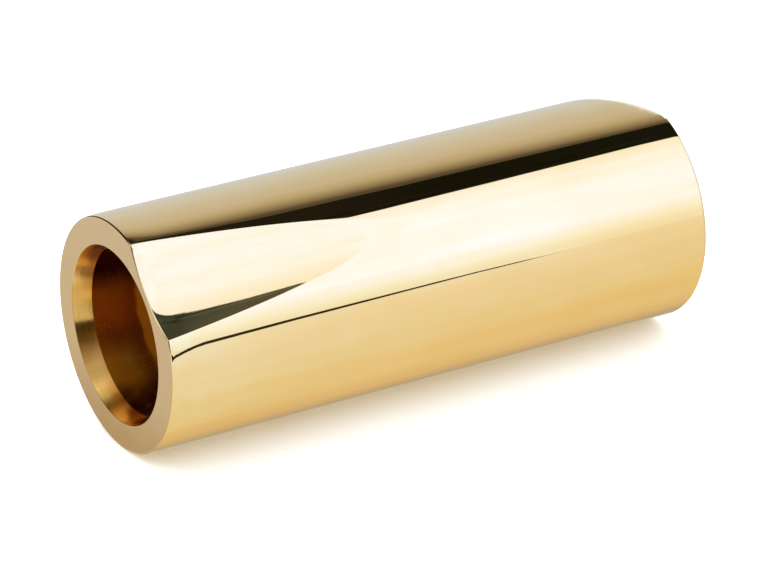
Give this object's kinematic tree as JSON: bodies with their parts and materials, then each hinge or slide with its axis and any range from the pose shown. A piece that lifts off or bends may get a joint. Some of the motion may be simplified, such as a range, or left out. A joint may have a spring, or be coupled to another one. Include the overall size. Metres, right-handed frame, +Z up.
{
  "type": "guitar slide",
  "caption": "Polished brass guitar slide: a thick open tube worn on a finger, with a flared mouth and a shallow hollowed relief beside the finger end.",
  "frame": {"origin": "on the surface that the slide lies on, under the middle of the tube", "axes": "+X along the bore from the finger end to the string end, +Z up, -Y the front, with the relief cut turned 45 degrees from +Z towards -Y"},
  "size_m": [0.0654, 0.0254, 0.0254],
  "materials": {
    "polished_brass": "mirror polished outside, satin turned ends, tarnished bore"
  },
  "bodies": {
    "root": {"slide_body": "polished_brass"}
  },
  "joints": []
}
